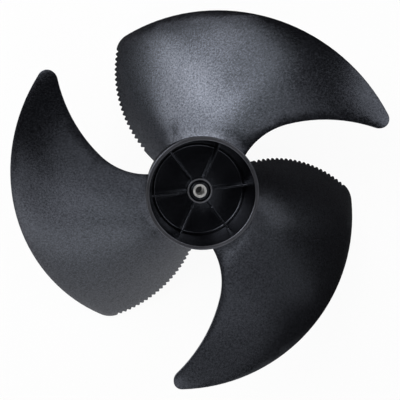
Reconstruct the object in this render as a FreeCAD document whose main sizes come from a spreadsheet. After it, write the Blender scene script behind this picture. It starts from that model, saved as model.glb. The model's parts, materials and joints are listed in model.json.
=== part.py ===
import FreeCAD
import Part
import Sketcher
import math
import os
from FreeCAD import Placement, Rotation, Vector

# Axial fan impeller: a moulded hub cup with three swept, saw-toothed blades
# round a metal shaft bush. Millimetres and degrees. +Z runs along the shaft
# towards the motor, and the origin is on the axis at the middle of the bush.

doc = FreeCAD.newDocument("fan_impeller")
sheet = doc.addObject("Spreadsheet::Sheet", "Sizes")

SIZES = [
    # Hub cup, open towards the motor. Heights are above the origin.
    ("hub_diameter", 118.0),
    ("hub_rim_height", 45.8),
    ("hub_skirt_height", -21.0),
    ("hub_wall", 4.4),
    ("hub_narrowing", 2.9),
    ("rim_bevel", 0.7),
    ("web_height", -5.4),
    ("web_thickness", 3.2),
    ("web_bevel", 2.2),
    # Boss round the bush, with a ring groove that keeps its wall thin.
    ("boss_diameter", 27.4),
    ("boss_wall", 1.8),
    ("groove_width", 2.3),
    ("groove_depth", 6.0),
    ("collar_drop", 0.8),
    # Ribs from the boss to the cup wall, stepped down beside the boss.
    ("rib_count", 6),
    ("rib_angle", 6.8),
    ("rib_thickness", 2.2),
    ("rib_height", 13.2),
    ("rib_step_radius", 21.8),
    ("rib_step_depth", 10.0),
    ("rib_round", 1.8),
    ("rib_seat", 1.0),
    # Metal bush moulded into the boss. Flats milled in its sides key it there.
    ("bush_diameter", 14.8),
    ("bush_length", 32.0),
    ("bore_diameter", 10.0),
    ("flat_count", 2),
    ("flat_length", 10.0),
    ("flat_depth", 1.0),
    ("flat_overrun", 1.0),
    # Blades in plan: two tangent arcs lead, one toothed arc trails.
    ("blade_count", 3),
    ("fan_diameter", 400.0),
    ("lead_root_radius", 66.2),
    ("lead_root_reach", 103.2),
    ("lead_root_angle", 3.8),
    ("lead_turn_angle", 104.7),
    ("lead_outer_radius", 141.7),
    ("trail_radius", 147.7),
    ("trail_reach", 148.8),
    ("trail_angle", 70.2),
    ("tip_round", 10.0),
    ("corner_round", 21.0),
    # Heights of the blade's two edges at the hub and at the full radius.
    ("lead_root_height", 36.0),
    ("lead_tip_height", 71.7),
    ("lead_sag", 3.6),
    ("trail_root_height", -16.5),
    ("trail_tip_height", -67.4),
    ("trail_sag", 13.9),
    ("camber", 0.49),
    ("lip_drop", 3.5),
    ("lip_power", 6),
    # Blade wall, thicker at the hub.
    ("blade_root_thickness", 3.6),
    ("blade_tip_thickness", 2.4),
    # Blunt saw teeth along the trailing edge, up to a plain stretch at the hub.
    ("tooth_pitch", 6.33),
    ("tooth_depth", 2.8),
    ("tooth_crest", 1.3),
    ("plain_root", 15.0),
    # Points that the blade's faces pass through, over its plan and a margin.
    ("grid_columns", 21),
    ("grid_rows", 13),
    ("grid_margin", 4.0),
    ("grid_inner_share", 0.72),
]

for row, (name, value) in enumerate(SIZES, start=1):
    sheet.set("A%d" % row, name)
    sheet.set("B%d" % row, str(value))
    sheet.setAlias("B%d" % row, name)
doc.recompute()

# Lengths this near to each other count as the same when edges are looked up.
SAME = 0.01


def size(name):
    """One driving dimension, as it stands in the sheet."""
    return float(sheet.get(name))


def add(kind, name, **links):
    """A document object with some of its properties set."""
    item = doc.addObject(kind, name)
    for prop, value in links.items():
        setattr(item, prop, value)
    return item


def origin_part(body, role):
    """The origin plane or axis of a body that has the given role."""
    return next(item for item in body.Origin.OriginFeatures if item.Role == role)


def new_sketch(body, name, role):
    sketch = body.newObject("Sketcher::SketchObject", name)
    sketch.AttachmentSupport = [(origin_part(body, role), "")]
    sketch.MapMode = "FlatFace"
    return sketch


def draw_outline(sketch, corners):
    """A closed outline whose corners are each held by two sheet expressions."""
    count = len(corners)
    turn = 2 * math.pi / count
    start = [Vector(math.cos(turn * k), math.sin(turn * k), 0) for k in range(count)]
    for k in range(count):
        sketch.addGeometry(Part.LineSegment(start[k], start[(k + 1) % count]))
    for k in range(count):
        joint = Sketcher.Constraint("Coincident", k, 2, (k + 1) % count, 1)
        sketch.addConstraint(joint)
    for k, (across, up) in enumerate(corners):
        for kind, value, expression in (
            ("DistanceX", start[k].x, across),
            ("DistanceY", start[k].y, up),
        ):
            held = Sketcher.Constraint(kind, -1, 1, k, 1, value)
            index = sketch.addConstraint(held)
            sketch.setExpression("Constraints[%d]" % index, expression)


def revolve(body, sketch, name):
    feature = body.newObject("PartDesign::Revolution", name)
    feature.Profile = sketch
    feature.ReferenceAxis = (origin_part(body, "Z_Axis"), [""])
    feature.Angle = 360.0
    return feature


def pattern(body, feature, name, count):
    """Copies of a feature evenly round the shaft axis."""
    ring = body.newObject("PartDesign::PolarPattern", name)
    ring.Originals = [feature]
    ring.Axis = (origin_part(body, "Z_Axis"), [""])
    ring.Angle = 360.0
    ring.setExpression("Occurrences", count)
    body.Tip = ring
    return ring


def ring_edges(shape, radius, height):
    """Names of the circles about the axis that have this radius and height."""
    names = []
    for number, edge in enumerate(shape.Edges, start=1):
        if not isinstance(edge.Curve, Part.Circle):
            continue
        radius_gap = abs(edge.Curve.Radius - radius)
        height_gap = abs(edge.Curve.Center.z - height)
        if radius_gap < SAME and height_gap < SAME:
            names.append("Edge%d" % number)
    return names


def ease(body, base, kind, name, edges, reach):
    """A fillet or a chamfer along named edges of a body."""
    feature = body.newObject("PartDesign::" + kind, name)
    feature.Base = (base, edges)
    prop = "Radius" if kind == "Fillet" else "Size"
    feature.setExpression(prop, reach)
    body.Tip = feature
    return feature


# Bush: a turned bar with flats milled in its sides for the plastic to grip.
bar = add("PartDesign::Body", "BushBar")
bar_profile = new_sketch(bar, "BushProfile", "XZ_Plane")
draw_outline(bar_profile, [
    ("0", "-Sizes.bush_length / 2"),
    ("Sizes.bush_diameter / 2", "-Sizes.bush_length / 2"),
    ("Sizes.bush_diameter / 2", "Sizes.bush_length / 2"),
    ("0", "Sizes.bush_length / 2"),
])
revolve(bar, bar_profile, "BushTurned")

flat_profile = new_sketch(bar, "FlatProfile", "XZ_Plane")
draw_outline(flat_profile, [
    ("Sizes.bush_diameter / 2 - Sizes.flat_depth", "-Sizes.flat_length / 2"),
    ("Sizes.bush_diameter / 2 + Sizes.flat_overrun", "-Sizes.flat_length / 2"),
    ("Sizes.bush_diameter / 2 + Sizes.flat_overrun", "Sizes.flat_length / 2"),
    ("Sizes.bush_diameter / 2 - Sizes.flat_depth", "Sizes.flat_length / 2"),
])
flat = bar.newObject("PartDesign::Pocket", "Flat")
flat.Profile = flat_profile
flat.Midplane = True
flat.setExpression("Length", "Sizes.bush_diameter")
pattern(bar, flat, "Flats", "Sizes.flat_count")

# The bore runs right through the bar.
bore = add("Part::Cylinder", "BushBore")
bore.setExpression("Radius", "Sizes.bore_diameter / 2")
bore.setExpression("Height", "Sizes.bush_length")
bore.setExpression("Placement.Base.z", "-Sizes.bush_length / 2")
bush = add("Part::Cut", "ShaftBush", Base=bar, Tool=bore, Label="shaft_bush")

# Hub: a drafted cup whose web stands inside its skirt, with the boss on the web.
hub = add("PartDesign::Body", "Hub")
hub_profile = new_sketch(hub, "HubProfile", "XZ_Plane")
OUTER = "Sizes.hub_diameter / 2"
WALL = "Sizes.hub_diameter / 2 - Sizes.hub_wall"
FOOT = "Sizes.hub_diameter / 2 - Sizes.hub_wall - Sizes.hub_narrowing"
BOSS = "Sizes.boss_diameter / 2"
GROOVE = "Sizes.boss_diameter / 2 - Sizes.boss_wall"
COLLAR = "Sizes.boss_diameter / 2 - Sizes.boss_wall - Sizes.groove_width"
FACE = "Sizes.bush_length / 2"
UNDER = "Sizes.web_height - Sizes.web_thickness"
draw_outline(hub_profile, [
    ("0", "-Sizes.bush_length / 2"),
    (BOSS, "-Sizes.bush_length / 2"),
    (BOSS, UNDER),
    (FOOT, UNDER),
    (WALL, "Sizes.hub_skirt_height"),
    (OUTER, "Sizes.hub_skirt_height"),
    (OUTER, "Sizes.hub_rim_height"),
    (WALL, "Sizes.hub_rim_height"),
    (FOOT, "Sizes.web_height"),
    (BOSS, "Sizes.web_height"),
    (BOSS, FACE),
    (GROOVE, FACE),
    (GROOVE, "Sizes.bush_length / 2 - Sizes.groove_depth"),
    (COLLAR, "Sizes.bush_length / 2 - Sizes.groove_depth"),
    (COLLAR, "Sizes.bush_length / 2 - Sizes.collar_drop"),
    ("0", "Sizes.bush_length / 2 - Sizes.collar_drop"),
])
hub_turned = revolve(hub, hub_profile, "HubTurned")
doc.recompute()

hub_radius = size("hub_diameter") / 2
wall_radius = hub_radius - size("hub_wall")
foot_radius = wall_radius - size("hub_narrowing")
rim_height = size("hub_rim_height")
rim_edges = ring_edges(hub_turned.Shape, hub_radius, rim_height)
rim_edges += ring_edges(hub_turned.Shape, wall_radius, rim_height)
rim_eased = ease(hub, hub_turned, "Chamfer", "RimBevel", rim_edges, "Sizes.rim_bevel")
doc.recompute()
foot_edges = ring_edges(rim_eased.Shape, foot_radius, size("web_height"))
ease(hub, rim_eased, "Chamfer", "WebBevel", foot_edges, "Sizes.web_bevel")

# Six ribs stand on the web. Each steps down beside the boss.
rib_profile = new_sketch(hub, "RibProfile", "XZ_Plane")
rib_profile.AttachmentOffset = Placement(Vector(0, 0, 0), Rotation(Vector(0, 1, 0), 1))
rib_profile.setExpression("AttachmentOffset.Rotation.Angle", "Sizes.rib_angle")
RIB_IN = "Sizes.boss_diameter / 2 - Sizes.rib_seat"
RIB_OUT = "Sizes.hub_diameter / 2 - Sizes.hub_wall / 2"
RIB_FOOT = "Sizes.web_height - Sizes.rib_seat"
draw_outline(rib_profile, [
    (RIB_IN, RIB_FOOT),
    ("Sizes.hub_diameter / 2 - Sizes.hub_wall / 2 - Sizes.hub_narrowing / 2", RIB_FOOT),
    (RIB_OUT, "Sizes.rib_height"),
    ("Sizes.rib_step_radius", "Sizes.rib_height"),
    ("Sizes.rib_step_radius", "Sizes.rib_height - Sizes.rib_step_depth"),
    (RIB_IN, "Sizes.rib_height - Sizes.rib_step_depth"),
])
rib = hub.newObject("PartDesign::Pad", "Rib")
rib.Profile = rib_profile
rib.Midplane = True
rib.setExpression("Length", "Sizes.rib_thickness")
ribs = pattern(hub, rib, "Ribs", "Sizes.rib_count")
doc.recompute()


def rib_corners(shape):
    """Names of the edges along the ribs' inner top corners."""
    names = []
    for number, edge in enumerate(shape.Edges, start=1):
        ends = [vertex.Point for vertex in edge.Vertexes]
        level = all(abs(point.z - size("rib_height")) < SAME for point in ends)
        short = abs(edge.Length - size("rib_thickness")) < SAME
        middle = edge.CenterOfMass
        reach = math.hypot(middle.x, middle.y)
        if level and short and abs(reach - size("rib_step_radius")) < SAME:
            names.append("Edge%d" % number)
    return names


ease(hub, ribs, "Fillet", "RibRound", rib_corners(ribs.Shape), "Sizes.rib_round")


# Blade in plan. The places of its arcs follow from their radii and reaches.
def polar(reach, angle, height=0.0):
    turn = math.radians(angle)
    return Vector(reach * math.cos(turn), reach * math.sin(turn), height)


def unit(vector):
    return vector / vector.Length


def heading(vector):
    return math.degrees(math.atan2(vector.y, vector.x))


AXIS = Vector(0, 0, 0)
fan_radius = size("fan_diameter") / 2
root_radius = hub_radius - size("hub_wall") / 2
turn_angle = size("lead_turn_angle")
lead_root = polar(size("lead_root_reach"), size("lead_root_angle"))
lead_joint = lead_root + polar(size("lead_root_radius"), turn_angle)
lead_outer = lead_joint - polar(size("lead_outer_radius"), turn_angle)
trail = polar(size("trail_reach"), size("trail_angle"))


def angle_on(centre, radius, reach):
    """Where the circle round a centre crosses a reach from the axis."""
    distance = centre.Length
    cosine = (distance ** 2 + reach ** 2 - radius ** 2) / (2 * distance * reach)
    return heading(centre) + math.degrees(math.acos(max(-1.0, min(1.0, cosine))))


def lead_angle(reach):
    if reach < lead_joint.Length:
        return angle_on(lead_root, size("lead_root_radius"), reach)
    return angle_on(lead_outer, size("lead_outer_radius"), reach)


def trail_angle(reach):
    return angle_on(trail, size("trail_radius"), reach)


def crossing(first, first_radius, second, second_radius, near):
    """The crossing of two circles that is nearer to a point."""
    gap = second - first
    along = (gap.Length ** 2 + first_radius ** 2 - second_radius ** 2) / (2 * gap.Length)
    aside = math.sqrt(first_radius ** 2 - along ** 2)
    ahead = unit(gap)
    across = Vector(-ahead.y, ahead.x, 0) * aside
    both = (first + ahead * along + across, first + ahead * along - across)
    return min(both, key=lambda point: (point - near).Length)


def arc(centre, start, end):
    """The shorter arc round a centre between two points on it."""
    middle = centre + unit((start + end) / 2 - centre) * (start - centre).Length
    return Part.Arc(start, middle, end).toShape()


def blade_outline():
    """The blade's plan: leading arcs, tip, outer arc, corner and saw teeth."""
    tip_round = size("tip_round")
    corner_round = size("corner_round")
    lead_reach = size("lead_outer_radius")
    trail_reach = size("trail_radius")
    tip = crossing(AXIS, fan_radius - tip_round, lead_outer, lead_reach + tip_round,
                   polar(fan_radius, lead_angle(fan_radius)))
    corner = crossing(AXIS, fan_radius - corner_round, trail, trail_reach - corner_round,
                      polar(fan_radius, trail_angle(fan_radius)))
    lead_start = polar(root_radius, lead_angle(root_radius))
    tip_start = lead_outer + unit(tip - lead_outer) * lead_reach
    tip_end = unit(tip) * fan_radius
    corner_start = unit(corner) * fan_radius
    corner_end = trail + unit(corner - trail) * trail_reach
    trail_end = polar(root_radius, trail_angle(root_radius))
    edges = [
        arc(lead_root, lead_start, lead_joint),
        arc(lead_outer, lead_joint, tip_start),
        arc(tip, tip_start, tip_end),
        arc(AXIS, tip_end, corner_start),
        arc(corner, corner_start, corner_end),
    ]
    step = math.degrees(size("tooth_pitch") / trail_reach)
    crest = math.degrees(size("tooth_crest") / trail_reach)
    plain = math.degrees(size("plain_root") / trail_reach)
    valley = trail_reach - size("tooth_depth")
    start = corner_end
    angle = heading(corner_end - trail)
    toothed = (heading(trail_end - trail) - angle) % 360 - plain
    for k in range(int(toothed / step)):
        middle = angle + step * (k + 0.5)
        notch = [
            start,
            trail + polar(trail_reach, middle - (step - crest) / 2),
            trail + polar(valley, middle),
            trail + polar(trail_reach, middle + (step - crest) / 2),
        ]
        edges += Part.makePolygon(notch).Edges
        start = notch[-1]
    edges.append(arc(trail, start, trail_end))
    edges.append(arc(AXIS, trail_end, lead_start))
    return Part.Face(Part.Wire(edges))


def edge_height(edge, share):
    """Height of the leading or trailing edge at a share of the blade's span."""
    root = size(edge + "_root_height")
    tip = size(edge + "_tip_height")
    return root + (tip - root) * share - 4 * size(edge + "_sag") * share * (1 - share)


def lip(share):
    """Droop of the outer margin, in shares of its drop at the full radius."""
    power = size("lip_power")
    if share < 1:
        return max(share, 0.0) ** power
    return 1 + power * (share - 1)


def blade_height(reach, angle):
    """Height of the blade's middle surface."""
    held = max(reach, hub_radius * size("grid_inner_share"))
    share = (held - hub_radius) / (fan_radius - hub_radius)
    lead = lead_angle(held)
    along = (angle - lead) / (trail_angle(held) - lead)
    fall = along - size("camber") * along * (1 - along)
    lead_height = edge_height("lead", share)
    drop = edge_height("trail", share) - lead_height
    return lead_height + drop * fall - size("lip_drop") * lip(share)


def blade_wall(reach, angle):
    """Wall along the axis that gives the blade its thickness square to itself."""
    share = (reach - hub_radius) / (fan_radius - hub_radius)
    root = size("blade_root_thickness")
    thickness = root + (size("blade_tip_thickness") - root) * min(share, 1.0)
    step = 1.0
    outward = blade_height(reach + step, angle) - blade_height(reach - step, angle)
    turned = math.degrees(step / reach)
    onward = blade_height(reach, angle + turned) - blade_height(reach, angle - turned)
    slope = math.hypot(outward, onward) / (2 * step)
    return thickness * math.sqrt(1 + slope ** 2)


def blade_face(box, side):
    """One face of the blade wall, through a grid of points over a plan box."""
    rows = []
    for x in spread(box.XMin, box.XMax, int(size("grid_columns"))):
        row = []
        for y in spread(box.YMin, box.YMax, int(size("grid_rows"))):
            reach = math.hypot(x, y)
            angle = math.degrees(math.atan2(y, x))
            height = blade_height(reach, angle) + side * blade_wall(reach, angle) / 2
            row.append(Vector(x, y, height))
        rows.append(row)
    surface = Part.BSplineSurface()
    surface.interpolate(rows)
    return surface.toShape()


def spread(low, high, count):
    return [low + (high - low) * k / (count - 1) for k in range(count)]


def blade_slab(outline):
    """A curved wall a little wider than the blade's outline."""
    box = outline.BoundBox
    box.enlarge(size("grid_margin"))
    upper = blade_face(box, 1)
    lower = blade_face(box, -1)
    sides = [Part.makeRuledSurface(a, b) for a, b in zip(upper.Edges, lower.Edges)]
    shell = Part.makeShell([upper, lower] + sides)
    shell.sewShape()
    slab = Part.makeSolid(shell)
    if slab.Volume < 0:
        slab.reverse()
    return slab


plan = add("Part::Feature", "BladePlan")
plan.Shape = blade_outline()
slab = add("Part::Feature", "BladeSlab")
slab.Shape = blade_slab(plan.Shape)
prism = add("Part::Extrusion", "BladePrism", Base=plan, Dir=Vector(0, 0, 1), Solid=True)
prism.DirMode = "Custom"
prism.Symmetric = True
prism.LengthFwd = 2 * fan_radius
blank = add("Part::MultiCommon", "BladeBlank", Shapes=[slab, prism])
doc.recompute()


blades = []
for k in range(int(size("blade_count"))):
    blade = add("Part::Feature", "Blade%d" % (k + 1))
    blade.Shape = blank.Shape
    turn = 360.0 * k / size("blade_count")
    blade.Placement = Placement(Vector(0, 0, 0), Rotation(Vector(0, 0, 1), turn))
    blades.append(blade)

# The moulding is one piece: hub and blades, formed round the bush.
rotor = add("Part::MultiFuse", "Rotor", Shapes=[hub] + blades)
moulding = add("Part::Cut", "Moulding", Base=rotor, Tool=bar, Label="fan_moulding")
doc.recompute()

for item in doc.Objects:
    if "Invalid" in item.State or "Error" in item.State:
        raise RuntimeError("%s failed" % item.Name)
os.makedirs("parts", exist_ok=True)
for piece in (moulding, bush):
    shape = piece.Shape
    if shape.isNull() or not shape.isValid() or len(shape.Solids) != 1:
        raise RuntimeError("%s is not one sound solid" % piece.Label)
    shape.exportStep("parts/%s.step" % piece.Label)
    print(piece.Label, round(shape.Volume), "mm3", shape.BoundBox)
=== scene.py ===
import json
import math

import bpy
from mathutils import Matrix, Vector

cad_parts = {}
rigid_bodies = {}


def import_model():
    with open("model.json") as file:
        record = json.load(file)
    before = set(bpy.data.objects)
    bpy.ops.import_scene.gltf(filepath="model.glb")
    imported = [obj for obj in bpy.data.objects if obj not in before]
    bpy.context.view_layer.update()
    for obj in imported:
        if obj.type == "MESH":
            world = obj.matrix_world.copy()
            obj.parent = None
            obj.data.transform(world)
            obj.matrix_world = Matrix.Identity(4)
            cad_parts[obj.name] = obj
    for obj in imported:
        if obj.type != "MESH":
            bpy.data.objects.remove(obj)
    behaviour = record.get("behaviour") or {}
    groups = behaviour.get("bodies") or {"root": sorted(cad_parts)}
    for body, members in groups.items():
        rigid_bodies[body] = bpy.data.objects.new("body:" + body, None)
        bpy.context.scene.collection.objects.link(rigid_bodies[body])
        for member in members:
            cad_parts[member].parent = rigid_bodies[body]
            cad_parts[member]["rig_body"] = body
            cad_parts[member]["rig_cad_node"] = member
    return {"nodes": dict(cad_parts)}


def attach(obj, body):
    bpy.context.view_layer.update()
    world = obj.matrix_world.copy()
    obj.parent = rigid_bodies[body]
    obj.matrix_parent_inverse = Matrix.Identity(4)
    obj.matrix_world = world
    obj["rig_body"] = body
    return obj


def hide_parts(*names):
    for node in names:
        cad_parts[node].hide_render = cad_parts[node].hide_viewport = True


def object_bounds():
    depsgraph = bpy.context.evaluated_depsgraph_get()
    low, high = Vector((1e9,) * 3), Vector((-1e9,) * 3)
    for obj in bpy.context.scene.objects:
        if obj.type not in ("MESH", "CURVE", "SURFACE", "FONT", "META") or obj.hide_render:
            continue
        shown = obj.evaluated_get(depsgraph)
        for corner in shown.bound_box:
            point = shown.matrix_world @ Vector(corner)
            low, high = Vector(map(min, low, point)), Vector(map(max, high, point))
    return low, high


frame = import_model()
cad_low, cad_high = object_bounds()


# The fan moulding: hub cup, ribs, boss and three blades in one shot of black
# plastic. Its edges come out of the mould softly rounded, so the rims of the
# blades and cup and the saw teeth take a small bevel on a merged copy.
merge_gap = 0.00002
flat_within = math.radians(0.5)
edge_rounding = 0.0005
edge_steps = 3
sharp_over = math.radians(38)
smooth_under = math.radians(32)

bpy.ops.object.select_all(action="DESELECT")
moulding = frame["nodes"]["fan_moulding"].copy()
moulding.data = moulding.data.copy()
moulding.name = "impeller_moulding"
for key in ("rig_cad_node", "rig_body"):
    del moulding[key]
bpy.context.collection.objects.link(moulding)
moulding.parent = None
bpy.context.view_layer.objects.active = moulding
moulding.select_set(True)
bpy.ops.object.mode_set(mode="EDIT")
bpy.ops.mesh.select_all(action="SELECT")
bpy.ops.mesh.remove_doubles(threshold=merge_gap)
bpy.ops.mesh.dissolve_limited(angle_limit=flat_within)
bpy.ops.object.mode_set(mode="OBJECT")

rounding = moulding.modifiers.new("rim_rounding", "BEVEL")
rounding.width = edge_rounding
rounding.segments = edge_steps
rounding.limit_method = "ANGLE"
rounding.angle_limit = sharp_over
rounding.use_clamp_overlap = False
bpy.ops.object.modifier_apply(modifier="rim_rounding")
bpy.ops.object.shade_smooth_by_angle(angle=smooth_under)

# The plastic is a deep satin black with a cool sheen.
cool_sheen = (0.78, 0.84, 1.0, 1)
deep_black = (0.0012, 0.0012, 0.0016, 1)
soft_black = (0.0024, 0.0024, 0.003, 1)

plastic = bpy.data.materials.new("satin_black_moulding")
plastic.use_nodes = True
nodes = plastic.node_tree.nodes
links = plastic.node_tree.links
shell = nodes["Principled BSDF"]
shell.inputs["Specular Tint"].default_value = cool_sheen
place = nodes.new("ShaderNodeTexCoord")

# Cloudy flow marks, tens of millimetres across.
cloud_scale = 22.0
cloud_detail = 4.0
cloud_roughness = 0.55

cloud = nodes.new("ShaderNodeTexNoise")
cloud.inputs["Scale"].default_value = cloud_scale
cloud.inputs["Detail"].default_value = cloud_detail
cloud.inputs["Roughness"].default_value = cloud_roughness
links.new(place.outputs["Object"], cloud.inputs["Vector"])

shade = nodes.new("ShaderNodeMix")
shade.data_type = "RGBA"
shade.inputs["A"].default_value = deep_black
shade.inputs["B"].default_value = soft_black
links.new(cloud.outputs["Fac"], shade.inputs["Factor"])

# Painted sheen: the cup's rim and the boss's thin wall are painted a lighter grey, mottled
# by the cloud, that stands in for the light their edges catch. Both are found by height
# and distance from the axis.
cup_rim_low = 0.0451
cup_rim_high = 0.0456
cup_rim_radius = 0.0592
cup_rim_sheen = 0.5
boss_wall_low = 0.0150
boss_wall_high = 0.0158
boss_wall_radius = 0.0128
boss_wall_half = 0.00105
painted_sheen_grey = (0.15, 0.15, 0.165, 1)

height = nodes.new("ShaderNodeSeparateXYZ")
links.new(place.outputs["Object"], height.inputs["Vector"])
plan = nodes.new("ShaderNodeCombineXYZ")
links.new(height.outputs["X"], plan.inputs["X"])
links.new(height.outputs["Y"], plan.inputs["Y"])
reach = nodes.new("ShaderNodeVectorMath")
reach.operation = "LENGTH"
links.new(plan.outputs["Vector"], reach.inputs[0])

rim_height = nodes.new("ShaderNodeMapRange")
rim_height.inputs["From Min"].default_value = cup_rim_low
rim_height.inputs["From Max"].default_value = cup_rim_high
rim_height.inputs["To Max"].default_value = cup_rim_sheen
links.new(height.outputs["Z"], rim_height.inputs["Value"])
inside = nodes.new("ShaderNodeMath")
inside.operation = "LESS_THAN"
inside.inputs[1].default_value = cup_rim_radius
links.new(reach.outputs["Value"], inside.inputs[0])
rim = nodes.new("ShaderNodeMath")
rim.operation = "MULTIPLY"
links.new(rim_height.outputs["Result"], rim.inputs[0])
links.new(inside.outputs["Value"], rim.inputs[1])

boss_height = nodes.new("ShaderNodeMapRange")
boss_height.inputs["From Min"].default_value = boss_wall_low
boss_height.inputs["From Max"].default_value = boss_wall_high
links.new(height.outputs["Z"], boss_height.inputs["Value"])
ring = nodes.new("ShaderNodeMath")
ring.operation = "COMPARE"
ring.inputs[1].default_value = boss_wall_radius
ring.inputs[2].default_value = boss_wall_half
links.new(reach.outputs["Value"], ring.inputs[0])
boss_ring = nodes.new("ShaderNodeMath")
boss_ring.operation = "MULTIPLY"
links.new(boss_height.outputs["Result"], boss_ring.inputs[0])
links.new(ring.outputs["Value"], boss_ring.inputs[1])

either = nodes.new("ShaderNodeMath")
either.operation = "ADD"
links.new(rim.outputs["Value"], either.inputs[0])
links.new(boss_ring.outputs["Value"], either.inputs[1])
painted_sheen_mask = nodes.new("ShaderNodeMath")
painted_sheen_mask.operation = "MULTIPLY"
links.new(either.outputs["Value"], painted_sheen_mask.inputs[0])
links.new(cloud.outputs["Fac"], painted_sheen_mask.inputs[1])
# Mix in the painted sheen: a lighter grey on the rim and the boss wall.
painted_sheen = nodes.new("ShaderNodeMix")
painted_sheen.data_type = "RGBA"
painted_sheen.inputs["B"].default_value = painted_sheen_grey
links.new(painted_sheen_mask.outputs["Value"], painted_sheen.inputs["Factor"])
links.new(shade.outputs["Result"], painted_sheen.inputs["A"])
links.new(painted_sheen.outputs["Result"], shell.inputs["Base Color"])

# The mould's spark-eroded grain, a millimetre or two across. It speckles the
# sheen, and it roughens and dents the surface a little.
grain_scale = 560.0
grain_detail = 3.0
grain_roughness = 0.65
grain_low = 0.3
grain_high = 0.7
smoothest = 0.19
roughest = 0.27
least_shine = 0.3
most_shine = 1.1
grain_relief = 0.25
grain_depth = 0.0002

grain = nodes.new("ShaderNodeTexNoise")
grain.inputs["Scale"].default_value = grain_scale
grain.inputs["Detail"].default_value = grain_detail
grain.inputs["Roughness"].default_value = grain_roughness
links.new(place.outputs["Object"], grain.inputs["Vector"])

sheen_map = nodes.new("ShaderNodeMapRange")
sheen_map.inputs["From Min"].default_value = grain_low
sheen_map.inputs["From Max"].default_value = grain_high
sheen_map.inputs["To Min"].default_value = smoothest
sheen_map.inputs["To Max"].default_value = roughest
links.new(grain.outputs["Fac"], sheen_map.inputs["Value"])
links.new(sheen_map.outputs["Result"], shell.inputs["Roughness"])

speckle = nodes.new("ShaderNodeMapRange")
speckle.inputs["From Min"].default_value = grain_low
speckle.inputs["From Max"].default_value = grain_high
speckle.inputs["To Min"].default_value = least_shine
speckle.inputs["To Max"].default_value = most_shine
links.new(grain.outputs["Fac"], speckle.inputs["Value"])
links.new(speckle.outputs["Result"], shell.inputs["Specular IOR Level"])

relief = nodes.new("ShaderNodeBump")
relief.inputs["Strength"].default_value = grain_relief
relief.inputs["Distance"].default_value = grain_depth
links.new(grain.outputs["Fac"], relief.inputs["Height"])
links.new(relief.outputs["Normal"], shell.inputs["Normal"])

moulding.data.materials.clear()
moulding.data.materials.append(plastic)
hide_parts("fan_moulding")
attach(moulding, "root")


# The shaft bush: a turned steel sleeve moulded into the boss. Only its end
# faces and bore show, bright from the lathe, with fine rings in the ends.
ring_scale = 900.0
ring_waver = 0.4
ring_relief = 0.3
ring_depth = 0.00005
tarnish_scale = 260.0
tarnish_detail = 3.0
dull_steel = (0.64, 0.64, 0.63, 1)
bright_steel = (0.84, 0.84, 0.83, 1)
best_polish = 0.32
least_polish = 0.48

bush = frame["nodes"]["shaft_bush"]
steel = bpy.data.materials.new("turned_steel")
steel.use_nodes = True
nodes = steel.node_tree.nodes
links = steel.node_tree.links
metal = nodes["Principled BSDF"]
metal.inputs["Metallic"].default_value = 1.0
place = nodes.new("ShaderNodeTexCoord")
rings = nodes.new("ShaderNodeTexWave")
rings.wave_type = "RINGS"
rings.rings_direction = "Z"
rings.inputs["Scale"].default_value = ring_scale
rings.inputs["Distortion"].default_value = ring_waver
links.new(place.outputs["Object"], rings.inputs["Vector"])
tarnish = nodes.new("ShaderNodeTexNoise")
tarnish.inputs["Scale"].default_value = tarnish_scale
tarnish.inputs["Detail"].default_value = tarnish_detail
links.new(place.outputs["Object"], tarnish.inputs["Vector"])
tone = nodes.new("ShaderNodeMix")
tone.data_type = "RGBA"
tone.inputs["A"].default_value = dull_steel
tone.inputs["B"].default_value = bright_steel
links.new(tarnish.outputs["Fac"], tone.inputs["Factor"])
links.new(tone.outputs["Result"], metal.inputs["Base Color"])
polish = nodes.new("ShaderNodeMapRange")
polish.inputs["To Min"].default_value = best_polish
polish.inputs["To Max"].default_value = least_polish
links.new(tarnish.outputs["Fac"], polish.inputs["Value"])
links.new(polish.outputs["Result"], metal.inputs["Roughness"])
turned = nodes.new("ShaderNodeBump")
turned.inputs["Strength"].default_value = ring_relief
turned.inputs["Distance"].default_value = ring_depth
links.new(rings.outputs["Fac"], turned.inputs["Height"])
links.new(turned.outputs["Normal"], metal.inputs["Normal"])
bush.data.materials.clear()
bush.data.materials.append(steel)


# A white table under the fan, turned up into a round white screen. The fan lies
# on its three trailing corners, cup up. The real blades mirror white towards the
# foot, less of it on the left and a dark room on the right, so this does the same.
screen_radius = 4.5
screen_height = 2.6
screen_sides = 96
table_clearance = 0.0002
facing_up = 0.9
foot_curve = 0.8
foot_steps = 8
foot_over = math.radians(60)

bpy.ops.object.select_all(action="DESELECT")
screen_middle = cad_low.z + screen_height / 2 - table_clearance
bpy.ops.mesh.primitive_cylinder_add(
    vertices=screen_sides,
    radius=screen_radius,
    depth=screen_height,
    location=(0, 0, screen_middle),
)
screen = bpy.context.object
screen.name = "table_and_screen"
bpy.ops.object.mode_set(mode="EDIT")
bpy.ops.mesh.select_mode(type="FACE")
bpy.ops.mesh.select_all(action="DESELECT")
bpy.ops.object.mode_set(mode="OBJECT")
for face in screen.data.polygons:
    face.select = face.normal.z > facing_up
bpy.ops.object.mode_set(mode="EDIT")
bpy.ops.mesh.delete(type="FACE")
bpy.ops.mesh.select_all(action="SELECT")
bpy.ops.mesh.flip_normals()
bpy.ops.object.mode_set(mode="OBJECT")
foot = screen.modifiers.new("curved_foot", "BEVEL")
foot.width = foot_curve
foot.segments = foot_steps
foot.limit_method = "ANGLE"
foot.angle_limit = foot_over
bpy.ops.object.modifier_apply(modifier="curved_foot")
bpy.ops.object.shade_smooth()

# Matt paper: dim to the light it passes on, white where it is seen, and painted dim under
# the hub as a painted shadow.
paper_roughness = 0.8
dim_paper = (0.1, 0.1, 0.1, 1)
bright_paper = (0.95, 0.95, 0.95, 1)

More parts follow.
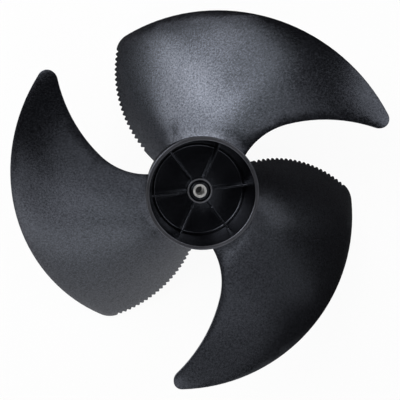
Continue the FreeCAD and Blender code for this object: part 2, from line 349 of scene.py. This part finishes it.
paper = bpy.data.materials.new("white_paper")
paper.use_nodes = True
nodes = paper.node_tree.nodes
links = paper.node_tree.links
sheet = nodes["Principled BSDF"]
sheet.inputs["Roughness"].default_value = paper_roughness
glow = nodes.new("ShaderNodeEmission")
path = nodes.new("ShaderNodeLightPath")
# Under the hub the paper's colour falls to the dim tone: a painted shadow.
bounce = nodes.new("ShaderNodeMix")
bounce.data_type = "RGBA"
bounce.inputs["A"].default_value = dim_paper
bounce.inputs["B"].default_value = bright_paper
links.new(bounce.outputs["Result"], sheet.inputs["Base Color"])

# How near a spot lies to the foot side, and how far it is from the hub. Under the hub the
# glow fades away
# and the paper is painted dim: a painted shadow.
in_plan = (1, 1, 0)
foot_direction = (-0.42, -0.91, 0)
foot_full_from = 0.6
far_side_share = 0.03
dark_under_hub = 0.012
open_from = 0.05
open_glow = 0.94

place = nodes.new("ShaderNodeTexCoord")
flat = nodes.new("ShaderNodeVectorMath")
flat.operation = "MULTIPLY"
flat.inputs[1].default_value = in_plan
links.new(place.outputs["Object"], flat.inputs[0])
bearing = nodes.new("ShaderNodeVectorMath")
bearing.operation = "NORMALIZE"
links.new(flat.outputs["Vector"], bearing.inputs[0])
toward = nodes.new("ShaderNodeVectorMath")
toward.operation = "DOT_PRODUCT"
toward.inputs[1].default_value = foot_direction
links.new(bearing.outputs["Vector"], toward.inputs[0])
foot_side = nodes.new("ShaderNodeMapRange")
foot_side.inputs["From Max"].default_value = foot_full_from
foot_side.inputs["To Min"].default_value = far_side_share
links.new(toward.outputs["Value"], foot_side.inputs["Value"])
spread = nodes.new("ShaderNodeVectorMath")
spread.operation = "LENGTH"
links.new(flat.outputs["Vector"], spread.inputs[0])
open_floor = nodes.new("ShaderNodeMapRange")
open_floor.interpolation_type = "SMOOTHSTEP"
open_floor.inputs["From Min"].default_value = dark_under_hub
open_floor.inputs["From Max"].default_value = open_from
open_floor.inputs["To Max"].default_value = open_glow
links.new(spread.outputs["Value"], open_floor.inputs["Value"])

# The camera sees the white everywhere but in the painted shadow under the hub, and mirrors
# and glass see it by its side.
mirrored = nodes.new("ShaderNodeMath")
mirrored.operation = "MAXIMUM"
links.new(path.outputs["Is Glossy Ray"], mirrored.inputs[0])
links.new(path.outputs["Is Transmission Ray"], mirrored.inputs[1])
sided = nodes.new("ShaderNodeMath")
sided.operation = "MULTIPLY"
links.new(mirrored.outputs["Value"], sided.inputs[0])
links.new(foot_side.outputs["Result"], sided.inputs[1])
seen = nodes.new("ShaderNodeMath")
seen.operation = "MAXIMUM"
links.new(path.outputs["Is Camera Ray"], seen.inputs[0])
links.new(sided.outputs["Value"], seen.inputs[1])
share = nodes.new("ShaderNodeMath")
share.operation = "MULTIPLY"
links.new(seen.outputs["Value"], share.inputs[0])
links.new(open_floor.outputs["Result"], share.inputs[1])
blend = nodes.new("ShaderNodeMixShader")
links.new(share.outputs["Value"], bounce.inputs["Factor"])
links.new(share.outputs["Value"], blend.inputs["Fac"])
links.new(sheet.outputs["BSDF"], blend.inputs[1])
links.new(glow.outputs["Emission"], blend.inputs[2])
links.new(blend.outputs["Shader"], nodes["Material Output"].inputs["Surface"])
screen.data.materials.append(paper)


# Studio light: large soft boxes up on the left, broader and weaker ones towards
# the foot of the picture and over the right, and a dim room.
lamp_distance = 2
dim_room = (0.03, 0.03, 0.032, 1)


def soft_box(name, direction, width, length, watts):
    """An area lamp out in a direction from the fan, facing it."""
    away = Vector(direction)
    spot = away.normalized() * lamp_distance
    bpy.ops.object.light_add(type="AREA", location=spot)
    lamp = bpy.context.object
    lamp.name = name
    lamp.data.shape = "RECTANGLE"
    lamp.data.size = width
    lamp.data.size_y = length
    lamp.data.energy = watts
    lamp.rotation_mode = "QUATERNION"
    lamp.rotation_quaternion = away.to_track_quat("Z", "Y")
    lamp.visible_camera = False


soft_box("left_box", (-0.74, 0.40, 0.55), 1.0, 1.6, 21)
soft_box("upper_left_box", (-0.60, 0.66, 0.45), 1.0, 0.8, 4)
soft_box("far_left_box", (-0.45, 0.62, 0.64), 1.2, 1.0, 9)
soft_box("high_left_box", (-0.33, 0.38, 0.86), 0.9, 0.9, 3.5)
soft_box("foot_box", (-0.33, -0.79, 0.52), 2.0, 1.0, 6)
soft_box("high_foot_box", (0.0, -0.65, 0.76), 1.6, 1.0, 4.6)
soft_box("far_right_box", (0.45, 0.45, 0.77), 1.0, 1.0, 5.8)
soft_box("right_box", (0.70, 0.10, 0.70), 1.2, 1.6, 2.8)
soft_box("low_right_box", (0.45, -0.40, 0.80), 1.6, 1.2, 2.8)
soft_box("side_box", (0.81, 0.47, 0.34), 0.8, 0.4, 1.2)

world = bpy.data.worlds.new("studio")
bpy.context.scene.world = world
world.use_nodes = True
room = world.node_tree.nodes["Background"]
room.inputs["Color"].default_value = dim_room


# The camera looks almost straight down into the cup, tipped a few degrees.
# blades_top_in_view is where the axis meets the blades' top, as it sees it.
tip_up = math.radians(4.107)
tip_aside = math.radians(2.150)
blades_top = Vector((0, 0, 0.0664))
blades_top_in_view = Vector((0.034159, -0.015625, -0.504253))
sensor_width = 36
lens_length = 45.9
shift_right = 0.0742
shift_up = -0.0503
nearest_seen = 0.01

tilt = Matrix.Rotation(tip_up, 3, "X") @ Matrix.Rotation(tip_aside, 3, "Y")
eye = blades_top - tilt.transposed() @ blades_top_in_view
bpy.ops.object.camera_add(location=eye)
camera = bpy.context.object
camera.rotation_mode = "QUATERNION"
camera.rotation_quaternion = tilt.transposed().to_quaternion()
camera.data.sensor_width = sensor_width
camera.data.lens = lens_length
camera.data.shift_x = shift_right
camera.data.shift_y = shift_up
camera.data.clip_start = nearest_seen
bpy.context.scene.camera = camera
bpy.context.scene.view_settings.view_transform = "Standard"
